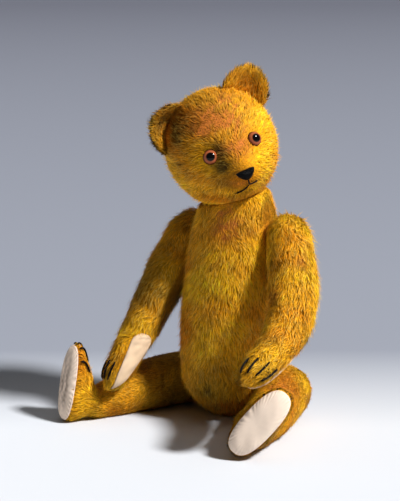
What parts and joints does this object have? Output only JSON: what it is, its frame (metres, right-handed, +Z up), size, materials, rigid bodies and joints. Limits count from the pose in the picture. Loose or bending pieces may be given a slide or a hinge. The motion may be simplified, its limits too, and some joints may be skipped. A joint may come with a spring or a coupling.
{
  "type": "jointed teddy bear",
  "caption": "Sitting threadbare teddy bear in golden mohair, with cotton pads, glass eyes, stitched nose, mouth and claws, and disc joints at neck, shoulders and hips.",
  "frame": {"origin": "on the flat of the seat, under the torso, where the bear rests on the floor", "axes": "+Z up, the torso faces -Y, the bear's left is +X"},
  "size_m": [0.2287, 0.1507, 0.3019],
  "materials": {
    "mohair": "worn golden mohair pile, thin to bare backing in places",
    "cotton": "soiled cream cotton weave",
    "glass": "glossy amber glass with a black pupil",
    "thread": "black cotton thread",
    "hardboard": "plain brown hardboard",
    "steel": "dull steel"
  },
  "bodies": {
    "torso": {"torso": "mohair", "neck_disc_torso_side": "hardboard", "neck_washer_torso_side": "steel", "neck_cotter_pin": "steel", "shoulder_left_disc_torso_side": "hardboard", "shoulder_left_washer_torso_side": "steel", "shoulder_left_cotter_pin": "steel", "shoulder_right_disc_torso_side": "hardboard", "shoulder_right_washer_torso_side": "steel", "shoulder_right_cotter_pin": "steel", "hip_left_disc_torso_side": "hardboard", "hip_left_washer_torso_side": "steel", "hip_left_cotter_pin": "steel", "hip_right_disc_torso_side": "hardboard", "hip_right_washer_torso_side": "steel", "hip_right_cotter_pin": "steel"},
    "head": {"head": "mohair", "ear_left": "mohair", "ear_right": "mohair", "eye_left": "glass", "eye_right": "glass", "eye_wire_left": "steel", "eye_wire_right": "steel", "nose_stitching": "thread", "mouth_stitching": "thread", "neck_disc_turning_side": "hardboard", "neck_washer_turning_side": "steel"},
    "arm_left": {"arm_left": "mohair", "paw_pad_left": "cotton", "claw_paw_left_1": "thread", "claw_paw_left_2": "thread", "claw_paw_left_3": "thread", "claw_paw_left_4": "thread", "shoulder_left_disc_turning_side": "hardboard", "shoulder_left_washer_turning_side": "steel"},
    "leg_left": {"leg_left": "mohair", "foot_pad_left": "cotton", "claw_foot_left_1": "thread", "claw_foot_left_2": "thread", "claw_foot_left_3": "thread", "claw_foot_left_4": "thread", "hip_left_disc_turning_side": "hardboard", "hip_left_washer_turning_side": "steel"},
    "arm_right": {"arm_right": "mohair", "paw_pad_right": "cotton", "claw_paw_right_1": "thread", "claw_paw_right_2": "thread", "claw_paw_right_3": "thread", "claw_paw_right_4": "thread", "shoulder_right_disc_turning_side": "hardboard", "shoulder_right_washer_turning_side": "steel"},
    "leg_right": {"leg_right": "mohair", "foot_pad_right": "cotton", "claw_foot_right_1": "thread", "claw_foot_right_2": "thread", "claw_foot_right_3": "thread", "claw_foot_right_4": "thread", "hip_right_disc_turning_side": "hardboard", "hip_right_washer_turning_side": "steel"}
  },
  "joints": [
    {"name": "neck", "type": "hinge", "parent": "torso", "child": "head", "pos_m": [0.00485, -0.00097, 0.19187], "axis": [-0.1898, -0.1598, 0.9687], "continuous": true},
    {"name": "shoulder_left", "type": "hinge", "parent": "torso", "child": "arm_left", "pos_m": [0.0382, 0.0055, 0.1537], "axis": [-0.9903, 0, -0.1392], "range_deg": [0, 90]},
    {"name": "shoulder_right", "type": "hinge", "parent": "torso", "child": "arm_right", "pos_m": [-0.031, 0.005, 0.1505], "axis": [-0.9799, 0, 0.1994], "range_deg": [0, 90]},
    {"name": "hip_left", "type": "hinge", "parent": "torso", "child": "leg_left", "pos_m": [0.032, 0.0065, 0.026], "axis": [-0.9848, -0.1035, 0.1392], "range_deg": [-90, 0]},
    {"name": "hip_right", "type": "hinge", "parent": "torso", "child": "leg_right", "pos_m": [-0.0313, 0.01, 0.0255], "axis": [-0.9744, 0.2071, -0.0872], "range_deg": [-90, 0]}
  ]
}
